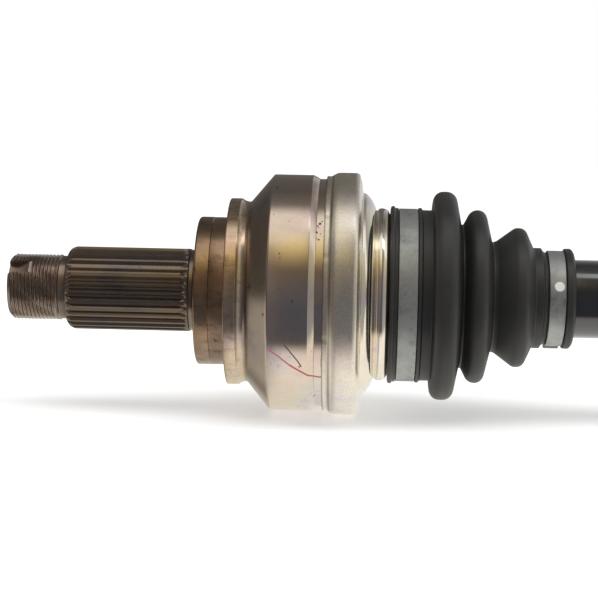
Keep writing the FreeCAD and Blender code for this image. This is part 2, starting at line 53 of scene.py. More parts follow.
def eased(corners, closed=False):
    """Points (x, r) through the corners; a third number rounds that corner with short chords."""
    nearly_straight, most_of_side, chord_turn = 1.55, 0.49, 0.22
    points = []
    for i, corner in enumerate(corners):
        rounding = corner[2] if len(corner) > 2 else 0
        if not rounding or (not closed and i in (0, len(corners) - 1)):
            points.append((corner[0], corner[1]))
            continue
        before, after = corners[i - 1], corners[(i + 1) % len(corners)]
        a = (before[0] - corner[0], before[1] - corner[1])
        b = (after[0] - corner[0], after[1] - corner[1])
        la, lb = math.hypot(*a), math.hypot(*b)
        a, b = (a[0] / la, a[1] / la), (b[0] / lb, b[1] / lb)
        half = math.acos(max(-1, min(1, a[0] * b[0] + a[1] * b[1]))) / 2
        if half > nearly_straight:
            points.append((corner[0], corner[1]))
            continue
        reach = min(rounding / math.tan(half), most_of_side * la, most_of_side * lb)
        radius = reach * math.tan(half)
        mid = ((a[0] + b[0]), (a[1] + b[1]))
        lm = math.hypot(*mid)
        cx = corner[0] + mid[0] / lm * radius / math.sin(half)
        cr = corner[1] + mid[1] / lm * radius / math.sin(half)
        start = math.atan2(corner[1] + a[1] * reach - cr, corner[0] + a[0] * reach - cx)
        stop = math.atan2(corner[1] + b[1] * reach - cr, corner[0] + b[0] * reach - cx)
        swing = (stop - start + math.pi) % (2 * math.pi) - math.pi
        chords = max(2, round(abs(swing) / chord_turn))
        for k in range(chords + 1):
            turn = start + swing * k / chords
            points.append((cx + radius * math.cos(turn), cr + radius * math.sin(turn)))
    return points


def turned(name, points, closed=False, steps=192, soft=32):
    """A profile drawn point by point in edit mode and spun once round the shaft axis."""
    bpy.ops.object.select_all(action="DESELECT")
    bpy.ops.mesh.primitive_plane_add(size=0.001, location=(0, 0, 0))
    piece = bpy.context.object
    piece.name = name
    bpy.ops.object.mode_set(mode="EDIT")
    bpy.ops.mesh.merge(type="CENTER")
    bpy.ops.transform.translate(value=(points[0][0] * MM, 0, points[0][1] * MM))
    path = list(points) + ([points[0]] if closed else [])
    for a, b in zip(path, path[1:]):
        step = ((b[0] - a[0]) * MM, 0, (b[1] - a[1]) * MM)
        bpy.ops.mesh.extrude_region_move(TRANSFORM_OT_translate={"value": step})
    bpy.ops.mesh.select_all(action="SELECT")
    bpy.ops.mesh.remove_doubles(threshold=1e-6)
    bpy.ops.mesh.spin(steps=steps, angle=2 * math.pi, center=(0, 0, 0), axis=(1, 0, 0))
    bpy.ops.mesh.select_all(action="SELECT")
    bpy.ops.mesh.remove_doubles(threshold=2e-6)
    bpy.ops.mesh.normals_make_consistent(inside=False)
    bpy.ops.object.mode_set(mode="OBJECT")
    bpy.ops.object.shade_smooth_by_angle(angle=math.radians(soft))
    return piece


def new_finish(name, colour, metal, rough):
    """A material with its shader, its object coordinates and a short way to add and join nodes."""
    material = bpy.data.materials.new(name)
    material.use_nodes = True
    tree = material.node_tree
    shader = tree.nodes["Principled BSDF"]
    shader.inputs["Base Color"].default_value = (*colour, 1)
    shader.inputs["Metallic"].default_value = metal
    shader.inputs["Roughness"].default_value = rough
    place = tree.nodes.new("ShaderNodeTexCoord").outputs["Object"]

    def add(kind, **settings):
        node = tree.nodes.new("ShaderNode" + kind)
        for key, value in settings.items():
            if key in node.inputs:
                node.inputs[key].default_value = value
            else:
                setattr(node, key, value)
        return node

    return material, shader, place, add, tree.links.new


def cloud(add, join, place, scale, detail=4.0, rough=0.6, stretch=(1, 1, 1)):
    """Noise on object coordinates, stretched along the axes where the finish has a grain."""
    mapping = add("Mapping")
    mapping.inputs["Scale"].default_value = stretch
    join(place, mapping.inputs["Vector"])
    noise = add("TexNoise", Scale=scale, Detail=detail, Roughness=rough)
    join(mapping.outputs["Vector"], noise.inputs["Vector"])
    return noise.outputs["Fac"]


def ramp(add, join, source, stops):
    """Colour ramp with (place, colour) stops."""
    node = add("ValToRGB")
    while len(node.color_ramp.elements) < len(stops):
        node.color_ramp.elements.new(0.5)
    for element, (place, colour) in zip(node.color_ramp.elements, stops):
        element.position = place
        element.color = (*colour, 1) if len(colour) == 3 else (colour[0],) * 3 + (1,)
    join(source, node.inputs["Fac"])
    return node.outputs["Color"]


def relief(add, join, shader, height, depth, strength=1.0):
    """Bump from a height, with its depth in metres."""
    bump = add("Bump", Strength=strength, Distance=depth)
    join(height, bump.inputs["Height"])
    join(bump.outputs["Normal"], shader.inputs["Normal"])


def black_paint():
    material, shader, place, add, join = new_finish(
        "gloss_black_paint", (0.012, 0.012, 0.014), 0.0, 0.14)
    shader.inputs["Specular IOR Level"].default_value = 0.9
    shader.inputs["Coat Weight"].default_value = 1.0
    shader.inputs["Coat Roughness"].default_value = 0.06
    depth = cloud(add, join, place, 40, 3)
    skin = ramp(add, join, depth, [(0.3, (0.009, 0.009, 0.011)), (0.7, (0.018, 0.018, 0.021))])
    join(skin, shader.inputs["Base Color"])
    join(ramp(add, join, depth, [(0.3, (0.07,)), (0.7, (0.11,))]), shader.inputs["Roughness"])
    relief(add, join, shader, cloud(add, join, place, 120, 2), 0.00003, 0.3)
    return material


def toothed(piece, teeth, root, tip, x0, x1, runout):
    """Sink the spaces between spline teeth into a turned piece; they rise out towards x1 + runout."""
    valley, flank, tip_spare = 0.26, 0.46, 0.02
    side = 1 if x1 > x0 else -1
    for v in piece.data.vertices:
        x = v.co.x / MM
        if (x - x0) * side < 0 or (x - x1) * side > abs(runout):
            continue
        radius = math.hypot(v.co.y, v.co.z) / MM
        if radius < 0.5 * root:
            continue
        phase = math.atan2(v.co.y, v.co.z) * teeth / (2 * math.pi) % 1.0
        crest = min(1.0, max(0.0, (min(phase, 1 - phase) * 2 - valley) / flank))
        rise = max(0.0, (x - x1) * side / abs(runout)) ** 1.5
        floor = root + (tip - root) * rise
        limit = floor + (tip + tip_spare - floor) * crest * crest * (3 - 2 * crest)
        if radius > limit:
            v.co.y *= limit / radius
            v.co.z *= limit / radius


BAR_R, BAR_NECK, NECK_END, FULL_START, TAPER_EASE = 16.0, 12.9, 58, 88, 20
BAR_TIP, BAR_ROOT, BAR_TEETH, BAR_SPLINE, BAR_RUNOUT, BAR_CHAMFER = 13.4, 12.5, 24, 33, 4, 1.4
PAST_CENTRE = 16.7
bar_left, bar_right = OUTER_CENTRE - PAST_CENTRE, INNER_CENTRE + PAST_CENTRE
bar_path = eased([
    (bar_left, 0), (bar_left, BAR_TIP - BAR_CHAMFER), (bar_left + BAR_CHAMFER, BAR_TIP),
    (bar_left + 3, BAR_TIP), (bar_left + BAR_SPLINE, BAR_TIP), (bar_left + 37, BAR_TIP),
    (bar_left + 38, BAR_NECK, 2), (OUTER_CENTRE + NECK_END, BAR_NECK, TAPER_EASE),
    (OUTER_CENTRE + FULL_START, BAR_R, TAPER_EASE), (240, BAR_R),
    (INNER_CENTRE - FULL_START, BAR_R, TAPER_EASE), (INNER_CENTRE - NECK_END, BAR_NECK, TAPER_EASE),
    (bar_right - 38, BAR_NECK, 2), (bar_right - 37, BAR_TIP), (bar_right - BAR_SPLINE, BAR_TIP),
    (bar_right - 3, BAR_TIP), (bar_right - BAR_CHAMFER, BAR_TIP), (bar_right, BAR_TIP - BAR_CHAMFER),
    (bar_right, 0),
])
bar = turned("bar", bar_path)
toothed(bar, BAR_TEETH, BAR_ROOT, BAR_TIP, bar_left, bar_left + BAR_SPLINE, BAR_RUNOUT)
toothed(bar, BAR_TEETH, BAR_ROOT, BAR_TIP, bar_right, bar_right - BAR_SPLINE, BAR_RUNOUT)
bar.data.materials.append(black_paint())
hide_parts("bar_shaft")
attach(bar, "bar")


# Races, cages, balls and clips inside both joints: hardened and ground bearing steel, with
# spring-steel clips, all sealed in grease. The races are pressed on the bar's splines.
def ground_steel(name, colour, rough):
    material, shader, place, add, join = new_finish(name, colour, 1.0, rough)
    light = tuple(c * 1.15 for c in colour)
    dark = tuple(c * 0.8 for c in colour)
    skin = ramp(add, join, cloud(add, join, place, 45, 5), [(0.3, dark), (0.7, light)])
    join(skin, shader.inputs["Base Color"])
    grain = cloud(add, join, place, 500, 3, stretch=(6, 1, 1))
    join(ramp(add, join, grain, [(0.3, (rough * 0.8,)), (0.7, (rough * 1.3,))]), shader.inputs["Roughness"])
    relief(add, join, shader, grain, 0.00002, 0.4)
    return material


def coat(piece, finish):
    """Give a piece this one finish in place of any that it has."""
    piece.data.materials.clear()
    piece.data.materials.append(finish)


ground = ground_steel("ground_bearing_steel", (0.42, 0.41, 0.40), 0.3)
mirror = ground_steel("lapped_ball_steel", (0.70, 0.70, 0.71), 0.12)
spring = ground_steel("oiled_spring_steel", (0.10, 0.10, 0.105), 0.38)
for side in ("outer", "inner"):
    race = "outer_inner_race" if side == "outer" else "inner_race"
    inside = [(race, ground), (side + "_cage", ground), (side + "_circlip", spring)]
    inside += [("%s_ball_%d" % (side, n), mirror) for n in range(1, 7)]
    for node, finish in inside + ([("inner_stop_ring", spring)] if side == "inner" else []):
        coat(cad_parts[node], finish)


# Outer joint housing: one steel forging with the threaded and splined stub for the wheel hub,
# turned steps and the bell that holds the ball tracks. Hardening heat has tinted its turned skin.
THREAD_R, THREAD_PITCH, THREAD_DEPTH, THREAD_STEP = 13.5, 1.5, 0.85, 0.19
CREST_FLAT, THREAD_FLANK, THREAD_FADE = 0.14, 0.6, 1.2
STUB_END, THREAD_END, STUB_CHAMFER, STUB_FACE_R, STUB_NECK_R = -77.6, -57.2, 1.7, 9, 13.0
SPLINE_START, SPLINE_END, SPLINE_RUNOUT = -54.1, -7.0, 3.4
SPLINE_TIP, SPLINE_ROOT, STUB_TEETH, LEAD_R, LEAD_ROUND = 17.0, 15.6, 30, 13.2, 3.8
BELL_R, CAGE_R, CAVITY_FLOOR, CAVITY_MOUTH = 48.3, 36.3, 21.2, 62.9
TRACK_CIRCLE, TRACK_R, TRACK_HALF = 32.0, 10.3, 9.3
STAKE_DISC_R, STAKE_WIDTH, STAKE_CENTRE, STAKE_TURN = 23.0, 6.0, (-80.0, 32.87), math.radians(45)


def stations(x0, x1, r, spacing):
    """Evenly spaced points of a straight stretch, close enough for the cuts that follow."""
    count = max(2, round(abs(x1 - x0) / spacing))
    return [(x0 + (x1 - x0) * k / count, r) for k in range(count + 1)]


stub_path = [(STUB_END, 0), (STUB_END, 4), (STUB_END, 8)]
stub_path += [(STUB_END + THREAD_STEP * k, THREAD_R - STUB_CHAMFER + THREAD_STEP * k) for k in range(9)]
stub_path += stations(STUB_END + 1.75, THREAD_END, THREAD_R, THREAD_STEP)
stub_path += eased([(THREAD_END + 0.1, THREAD_R), (THREAD_END + 0.6, STUB_NECK_R),
                    (SPLINE_START, STUB_NECK_R, 0.3), (SPLINE_START, LEAD_R)])
stub_path += [(SPLINE_START + LEAD_ROUND * (1 - math.cos(math.radians(9 * k))),
               LEAD_R + LEAD_ROUND * math.sin(math.radians(9 * k))) for k in range(11)]
stub_path += stations(-50, -8, SPLINE_TIP, 6.5)
stub_path += stations(SPLINE_END, -3.6, SPLINE_TIP, 0.4)
stub_path += eased([
    (-3.5, 16.9), (-3.1, 16.6, 0.4), (-1.5, 16.6, 0.6), (-0.8, 16.0, 0.3), (0.8, 16.0), (0.8, 17.9),
    (0, 17.9), (0, 30.35, 1.0), (5.9, 30.35), (6.15, 30.15), (6.4, 30.28), (12.6, 30.28, 0.4),
    (12.6, 38.2, 0.5), (17.3, 38.2, 0.4), (17.9, 37.7), (18.7, 37.3), (19.5, 37.05), (20.4, 36.9),
    (21.2, 37.25, 0.6), (30.4, BELL_R, 1.0), (46.3, BELL_R, 0.6), (47.2, 47.8), (48.1, 47.4),
    (48.9, 46.78), (51.5, 46.78), (51.5, 46.38), (54.98, 46.38), (57.98, 47.88, 1.5),
    (63.7, 47.88, 1.0), (63.7, 35.5), (61.2, 33.0)])
stub_path += [(OUTER_CENTRE + CAGE_R * math.sin(math.radians(t)), CAGE_R * math.cos(math.radians(t)))
              for t in (24, 20, 16, 12, 8, 4, 0, -4, -8, -12, -16, -20, -24, -28, -32, -36, -40, -43.5)]
stub_path += [(21.0, 20), (21.0, 10), (21.0, 0)]


def disc_cut(piece, radius, width, centre, slant):
    """Cut a slot with the rim of a disc that stands across the shaft, as a side milling cutter does."""
    bpy.ops.object.select_all(action="DESELECT")
    bpy.ops.mesh.primitive_cylinder_add(
        vertices=128, radius=radius * MM, depth=width * MM, location=(0, 0, 0))
    cutter = bpy.context.object
    bpy.ops.object.mode_set(mode="EDIT")
    bpy.ops.mesh.select_all(action="SELECT")
    bpy.ops.transform.rotate(value=math.pi / 2, orient_axis="X", center_override=(0, 0, 0))
    bpy.ops.transform.translate(value=(centre[0] * MM, 0, centre[1] * MM))
    bpy.ops.object.mode_set(mode="OBJECT")
    for v in cutter.data.vertices:
        y, z = v.co.y, v.co.z
        v.co.y = y * math.cos(slant) - z * math.sin(slant)
        v.co.z = y * math.sin(slant) + z * math.cos(slant)
    cut = piece.modifiers.new("slot", "BOOLEAN")
    cut.operation, cut.object, cut.solver = "DIFFERENCE", cutter, "EXACT"
    bpy.context.view_layer.objects.active = piece
    bpy.ops.object.modifier_apply(modifier="slot")
    bpy.data.objects.remove(cutter)


housing = turned("outer_joint_housing_forging", stub_path, steps=240)
disc_cut(housing, STAKE_DISC_R, STAKE_WIDTH, STAKE_CENTRE, STAKE_TURN)
toothed(housing, STUB_TEETH, SPLINE_ROOT, SPLINE_TIP, SPLINE_START - 0.1, SPLINE_END, SPLINE_RUNOUT)
for v in housing.data.vertices:
    x = v.co.x / MM
    radius = math.hypot(v.co.y, v.co.z) / MM
    if STUB_END + 0.1 < x < THREAD_END + 0.05 and radius > STUB_FACE_R:
        phase = (x / THREAD_PITCH - math.atan2(v.co.z, v.co.y) / (2 * math.pi)) % 1.0
        groove = min(1.0, max(0.0, (abs(phase - 0.5) * 2 - CREST_FLAT) / THREAD_FLANK))
        fade = min(1.0, max(0.0, (THREAD_END - x) / THREAD_FADE))
        limit = THREAD_R - THREAD_DEPTH * groove * fade
        if radius > limit:
            v.co.y *= limit / radius
            v.co.z *= limit / radius
    if CAVITY_FLOOR < x < CAVITY_MOUTH and math.hypot(x - OUTER_CENTRE, radius) < CAGE_R + 0.2:
        turn = math.atan2(v.co.y, v.co.z)
        off = (turn + math.pi / 6) % (math.pi / 3) - math.pi / 6
        for _ in range(3):  # each pass comes nearer to the ball's round track
            aside = abs(math.sin(off)) * math.hypot(v.co.y, v.co.z) / MM
            if aside < TRACK_HALF:
                out = TRACK_CIRCLE + math.sqrt(TRACK_R**2 - aside**2)
                grow = out / max(math.hypot(v.co.x / MM - OUTER_CENTRE, v.co.y / MM, v.co.z / MM), 1)
                v.co.x = (OUTER_CENTRE + (v.co.x / MM - OUTER_CENTRE) * grow) * MM
                v.co.y *= grow
                v.co.z *= grow

bpy.ops.object.select_all(action="DESELECT")
housing.select_set(True)
bpy.context.view_layer.objects.active = housing
bpy.ops.object.shade_smooth_by_angle(angle=math.radians(30))


def spot(add, join, place, centre, radius, ragged):
    """One inside a ragged round patch about a point of the surface, fading to nought at its rim."""
    rim_width = 0.25
    apart = add("VectorMath", operation="DISTANCE")
    join(place, apart.inputs[0])
    apart.inputs[1].default_value = [c * MM for c in centre]
    uneven = add("Math", operation="MULTIPLY_ADD")
    join(cloud(add, join, place, 500, 3), uneven.inputs[0])
    uneven.inputs[1].default_value = ragged * MM
    join(apart.outputs["Value"], uneven.inputs[2])
    rim = add("MapRange")
    rim.inputs["From Min"].default_value = (radius + 0.5 * ragged) * MM
    rim.inputs["From Max"].default_value = (radius + 0.5 * ragged - rim_width) * MM
    join(uneven.outputs["Value"], rim.inputs["Value"])
    return rim.outputs["Result"]


def product(add, join, first, second):
    """Two grey values multiplied with each other."""
    times = add("Math", operation="MULTIPLY")
    join(first, times.inputs[0])
    join(second, times.inputs[1])
    return times.outputs["Value"]


def pen_line(add, join, place, start, stop, width):
    """One along a hand-drawn line between two (x, z) points, on the front and the back; else nought."""
    shaken, rim_out, rim_in = 0.0016, 0.1, 0.15
    run, rise = stop[0] - start[0], stop[1] - start[1]
    length = math.hypot(run, rise)
    wobble = add("VectorMath", operation="MULTIPLY_ADD")
    shake = add("TexNoise", Scale=90.0, Detail=2.0)
    join(place, shake.inputs["Vector"])
    join(shake.outputs["Color"], wobble.inputs[0])
    wobble.inputs[1].default_value = (shaken, 0, shaken)
    join(place, wobble.inputs[2])
    moved = add("VectorMath", operation="SUBTRACT")
    join(wobble.outputs["Vector"], moved.inputs[0])
    moved.inputs[1].default_value = (start[0] * MM + shaken / 2, 0, start[1] * MM + shaken / 2)
    inside = None
    lengthwise, crosswise = ((run, 0, rise), length / 2, length / 2), ((-rise, 0, run), 0, width / 2)
    for direction, middle, half in (lengthwise, crosswise):
        along = add("VectorMath", operation="DOT_PRODUCT")
        join(moved.outputs["Vector"], along.inputs[0])
        along.inputs[1].default_value = [d / length for d in direction]
        off = add("Math", operation="SUBTRACT")
        join(along.outputs["Value"], off.inputs[0])
        off.inputs[1].default_value = middle * MM
        size = add("Math", operation="ABSOLUTE")
        join(off.outputs["Value"], size.inputs[0])
        rim = add("MapRange")
        rim.inputs["From Min"].default_value = (half + rim_out) * MM
        rim.inputs["From Max"].default_value = (half - rim_in) * MM
        join(size.outputs["Value"], rim.inputs["Value"])
        here = rim.outputs["Result"]
        inside = here if inside is None else product(add, join, inside, here)
    return inside


def over(add, join, factor, below, colour):
    """Lay a plain colour over another one where the factor is one."""
    layer = add("Mix", data_type="RGBA")
    join(factor, layer.inputs["Factor"])
    join(below, layer.inputs["A"])
    layer.inputs["B"].default_value = (*colour, 1)
    return layer.outputs["Result"]


def washed(add, join, below, tint, amount=None):
    """A colour multiplied by a tint, wholly or by an amount between nought and one."""
    layer = add("Mix", data_type="RGBA", blend_type="MULTIPLY")
    layer.inputs["Factor"].default_value = 1.0
    if amount is not None:
        join(amount, layer.inputs["Factor"])
    join(below, layer.inputs["A"])
    join(tint, layer.inputs["B"])
    return layer.outputs["Result"]


def along_shaft(add, join, place, start, stop):
    """Nought at one x of the shaft and one at another, for a finish that changes on the way."""
    split = add("SeparateXYZ")
    join(place, split.inputs["Vector"])
    along = add("MapRange")
    along.inputs["From Min"].default_value = start * MM
    along.inputs["From Max"].default_value = stop * MM
    join(split.outputs["X"], along.inputs["Value"])
    return along.outputs["Result"]


def tinted_forging():
    material, shader, place, add, join = new_finish(
        "heat_tinted_forging", (0.62, 0.55, 0.50), 1.0, 0.2)
    along = along_shaft(add, join, place, -60, 56)
    tint = ramp(add, join, along, [
        (0.026, (0.33, 0.285, 0.255)), (0.052, (0.22, 0.19, 0.165)), (0.509, (0.22, 0.19, 0.165)),
        (0.517, (0.37, 0.275, 0.205)), (0.626, (0.40, 0.30, 0.23)), (0.633, (0.68, 0.57, 0.46)),
        (0.685, (0.64, 0.53, 0.43)), (0.703, (0.36, 0.31, 0.265)), (0.772, (0.42, 0.365, 0.32)),
        (0.783, (0.70, 0.63, 0.575)), (1.0, (0.72, 0.66, 0.60))])
    patch = ramp(add, join, cloud(add, join, place, 38, 5, 0.6), [
        (0.28, (0.66, 0.68, 0.84)), (0.41, (0.98, 0.98, 1.0)), (0.52, (1.05, 1.0, 0.89)),
        (0.63, (1.02, 0.91, 0.89)), (0.76, (0.78, 0.70, 0.76))])
    oily = ramp(add, join, cloud(add, join, place, 210, 5, 0.75, (0.6, 1, 1)), [
        (0.34, (0.62, 0.54, 0.42)), (0.47, (0.96, 0.94, 0.90)), (0.58, (1.08, 1.02, 0.86)),
        (0.68, (1.25, 1.18, 1.12))])
    film = ramp(add, join, along, [
        (0.03, (0.3,)), (0.509, (0.3,)), (0.520, (1.0,)), (0.66, (0.8,)), (0.72, (0.12,))])
    skin = washed(add, join, washed(add, join, tint, patch), oily, film)
    flecks = ramp(add, join, cloud(add, join, place, 420, 2, 0.5), [(0.70, (0.0,)), (0.76, (0.8,))])
    skin = over(add, join, flecks, skin, (0.16, 0.10, 0.06))
    stains = (((50.2, -35.5, 30.8), 0.75), ((49.4, -36.3, 30.0), 0.5), ((50.9, -34.8, 31.6), 0.45),
              ((49.7, -36.6, 29.2), 0.35), ((49.0, -38.0, 27.5), 0.45), ((50.6, -38.3, 26.9), 0.35),
              ((49.9, -39.6, 24.6), 0.45), ((50.8, -40.6, 21.6), 0.6))
    ragged, rust = 1.2, (0.12, 0.07, 0.03)
    for centre, radius in stains:
        skin = over(add, join, spot(add, join, place, centre, radius, ragged), skin, rust)
    pens = ((31.0, -17.5, 39.5, -24.3, 0.55, (0.62, 0.12, 0.15)),
            (39.3, -24.1, 47.0, -28.7, 0.75, (0.62, 0.13, 0.16)),
            (46.8, -28.6, 51.6, -29.4, 0.6, (0.66, 0.12, 0.15)),
            (37.4, -15.6, 44.2, -24.6, 0.5, (0.02, 0.015, 0.015)))
    inked = None
    for x0, z0, x1, z1, width, ink in pens:
        line = pen_line(add, join, place, (x0, z0), (x1, z1), width)
        skin = over(add, join, line, skin, ink)
        if inked is None:
            inked = line
        else:
            more = add("Math", operation="MAXIMUM")
            join(inked, more.inputs[0])
            join(line, more.inputs[1])
            inked = more.outputs["Value"]
    join(skin, shader.inputs["Base Color"])
    oiled = ramp(add, join, along, [(0.509, (0.9,)), (0.517, (1.0,))])
    metal = add("Math", operation="SUBTRACT", use_clamp=True)
    join(oiled, metal.inputs[0])
    join(inked, metal.inputs[1])
    join(metal.outputs["Value"], shader.inputs["Metallic"])
    rings = cloud(add, join, place, 900, 3, 0.7, (1, 0.004, 0.004))
    polish = ramp(add, join, along, [(0.509, (0.14,)), (0.517, (0.20,)), (0.7, (0.16,)), (0.79, (0.10,))])
    dull = add("Math", operation="MULTIPLY_ADD")
    join(rings, dull.inputs[0])
    dull.inputs[1].default_value = 0.12
    join(polish, dull.inputs[2])
    join(dull.outputs["Value"], shader.inputs["Roughness"])
    relief(add, join, shader, rings, 0.00001, 0.3)
    return material


forging_finish = tinted_forging()
coat(housing, forging_finish)
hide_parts("outer_joint_housing")
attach(housing, "outer_housing")


# Pressed can: steel sheet deep drawn into a cap, passivated pale yellow, rolled over the bell's
# edge and crimped there. Its neck carries the boot and a soft ring seals it on the bell.
LIP_X, LIP_REACH, LIP_END, LIP_R = 51.75, 1.6, 54.5, 47.2
LIP_WAVE, NICK_DEPTH, NICK_WIDTH = 0.1, 0.16, 0.13
DENT_X, DENT_TURN, DENT_R, DENT_DEPTH, DENT_FROM_R = 70.0, math.radians(61), 2.0, 1.0, 34
can_corners = [
    (LIP_X, 48.0), (53.8, 48.0, 0.8), (54.6, 48.57), (55.4, 49.04), (56.2, 49.33), (57.0, 49.47),
    (58.0, 49.5), (63.4, 49.5), (64.4, 49.34), (65.2, 48.7, 0.6), (66.1, 45.5, 2.0), (66.7, 41.4, 0.5),
    (68.0, 40.95, 1.5), (69.0, 40.1), (70.0, 38.9), (71.0, 37.3), (72.0, 35.0), (72.4, 34.0, 0.3),
    (73.0, 34.9), (73.7, 35.3), (75.0, 35.3), (76.0, 34.95), (77.0, 34.5, 0.4), (77.6, 33.0, 0.5),
    (89.1, 33.0), (89.1, 31.4), (77.0, 31.4, 1.0), (76.2, 33.0, 0.5), (73.8, 33.5, 0.5),
    (72.8, 32.4, 0.5), (71.4, 32.5, 0.6), (70.4, 35.3), (69.5, 37.0), (67.8, 39.2, 1.0),
    (65.2, 39.9, 0.5), (64.75, 47.9, 0.4), (58.0, 47.9), (54.9, 46.4), (LIP_X, 46.4),
]
can = turned("outer_can_pressing", eased(can_corners, closed=True), closed=True, steps=288)
for v in can.data.vertices:
    x, radius = v.co.x / MM, math.hypot(v.co.y, v.co.z) / MM
    dent = math.hypot(x - DENT_X, (math.atan2(-v.co.z, -v.co.y) - DENT_TURN) * radius)
    if dent < DENT_R and radius > DENT_FROM_R:
        sink = 1 - DENT_DEPTH * (1 - (dent / DENT_R) ** 2) / radius
        v.co.y *= sink
        v.co.z *= sink
    if x < LIP_END and radius > LIP_R:
        turn = math.atan2(v.co.y, v.co.z)
        wave = math.sin(turn * 7 + 0.6) + 0.7 * math.sin(turn * 17 + 2.0) + 0.5 * math.sin(turn * 31)
        edge = max(0.0, 1 - (x - LIP_X) / LIP_REACH)
        v.co.x += LIP_WAVE * (wave + 1) * edge * MM
        apart = abs((turn * 19 / math.pi + 0.35 * math.sin(turn * 3)) % 2 - 1)
        sink = 1 - NICK_DEPTH * max(0.0, 1 - apart / NICK_WIDTH) / radius
        v.co.y *= sink
        v.co.z *= sink


def passivated():
    material, shader, place, add, join = new_finish(
        "yellow_passivated_sheet", (0.84, 0.76, 0.62), 1.0, 0.26)
    skin = ramp(add, join, cloud(add, join, place, 34, 6, 0.7), [
        (0.30, (0.74, 0.69, 0.72)), (0.42, (0.88, 0.81, 0.75)), (0.52, (0.91, 0.85, 0.70)),
        (0.64, (0.88, 0.79, 0.73)), (0.76, (0.76, 0.68, 0.70))])
    along = along_shaft(add, join, place, 50, 80)
    drawn = ramp(add, join, along, [(0.50, (1.0,)), (0.56, (0.0,))])
    speckle = ramp(add, join, cloud(add, join, place, 1500, 2, 0.7), [(0.36, (0.90,)), (0.60, (1.06,))])
    # Painted shade: two dark rings at the edges of the crimped lip, where shade falls in the folds of the
    # sheet.
    painted_crease_shade = ramp(add, join, along, [
        (0.062, (0.35, 0.32, 0.30)), (0.085, (1, 1, 1)), (0.130, (1, 1, 1)), (0.150, (0.42, 0.40, 0.38)),
        (0.172, (1, 1, 1))])
    skin = washed(add, join, washed(add, join, skin, speckle, drawn), painted_crease_shade)
    join(skin, shader.inputs["Base Color"])
    polish = ramp(add, join, along, [(0.5, (0.26,)), (0.56, (0.13,)), (0.74, (0.10,))])
    grain = ramp(add, join, along, [(0.5, (0.18,)), (0.58, (0.02,))])
    pits = cloud(add, join, place, 420, 3, 0.6, (1, 0.35, 0.35))
    rough = add("Math", operation="MULTIPLY_ADD")
    join(pits, rough.inputs[0])
    join(grain, rough.inputs[1])
    join(polish, rough.inputs[2])
    join(rough.outputs["Value"], shader.inputs["Roughness"])
    relief(add, join, shader, product(add, join, pits, grain), 0.00006, 0.5)
    return material


sheet_finish = passivated()
can.data.materials.append(sheet_finish)
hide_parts("outer_can")
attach(can, "outer_housing")


def soft_seal():
    material, shader, place, add, join = new_finish("seal_rubber", (0.03, 0.03, 0.03), 0.0, 0.7)
    skin = ramp(add, join, cloud(add, join, place, 80, 3), [(0.3, (0.02,)), (0.7, (0.045,))])
    join(skin, shader.inputs["Base Color"])
    relief(add, join, shader, cloud(add, join, place, 600, 2), 0.00005, 0.3)
    return material


coat(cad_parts["outer_seal_ring"], soft_seal())


# Outer boot: moulded black rubber, three folds that get smaller towards the bar. It is drawn in
# four lengths, one for each stretch that a half turn of the joint bends; the lengths stay fixed.
def boot_rubber():
    material, shader, place, add, join = new_finish(
        "moulded_boot_rubber", (0.028, 0.028, 0.028), 0.0, 0.46)
    shader.inputs["Specular IOR Level"].default_value = 0.62
    dust = cloud(add, join, place, 35, 5, 0.65)
    skin = ramp(add, join, dust, [
        (0.3, (0.022, 0.022, 0.022)), (0.6, (0.031, 0.031, 0.029)), (0.8, (0.062, 0.060, 0.054))])
    join(skin, shader.inputs["Base Color"])
    join(ramp(add, join, dust, [(0.3, (0.38,)), (0.7, (0.56,))]), shader.inputs["Roughness"])
    relief(add, join, shader, cloud(add, join, place, 420, 4, 0.6), 0.00008, 0.35)
    return material


rubber = boot_rubber()
OUTER_BOOT_WALL = 2.3


def boot_lengths(name, outer, inner, cuts, chain):
    """Cut a boot's rounded profile at the given planes; each length comes with the two bodies beside it in
    the chain.
    """
    hair = 1e-9

    def between(points, x0, x1):
        found = []
        for a, b in zip(points, points[1:]):
            for plane in (x0, x1):
                if (a[0] - plane) * (b[0] - plane) < 0:
                    share = (plane - a[0]) / (b[0] - a[0])
                    found.append((plane, a[1] + (b[1] - a[1]) * share))
            if x0 - hair <= b[0] <= x1 + hair:
                found.append(b)
        if x0 - hair <= points[0][0] <= x1 + hair:
            found.insert(0, points[0])
        return sorted(set((round(p[0], 5), round(p[1], 5)) for p in found), key=lambda p: p[0])

    planes = [outer[0][0]] + cuts + [outer[-1][0]]
    for k, (x0, x1) in enumerate(zip(planes, planes[1:])):
        ring = between(outer, x0, x1) + between(inner, x0, x1)[::-1]
        length = turned("%s_length_%d" % (name, k + 1), ring, closed=True, steps=144, soft=50)
        length.data.materials.append(rubber)
        yield length, chain[k], chain[k + 1]


def lining(points, wall, ends):
    """The inside of a boot: its outside moved in by the wall, and a plain seat (from, to, r) at each end."""
    (left, left_stop, left_r), (right, right_stop, right_r) = ends
    shortest = 0.05
    path = []
    for before, here, after in zip(points, points[1:], points[2:]):
        run, rise = after[0] - before[0], after[1] - before[1]
        length = math.hypot(run, rise)
        x, r = here[0] + wall * rise / length, here[1] - wall * run / length
        if left_stop < x < right and (not path or x > path[-1][0] + shortest):
            path.append((x, r))
    return [(left, left_r), (left_stop, left_r)] + path + [(right, right_r), (right_stop, right_r)]


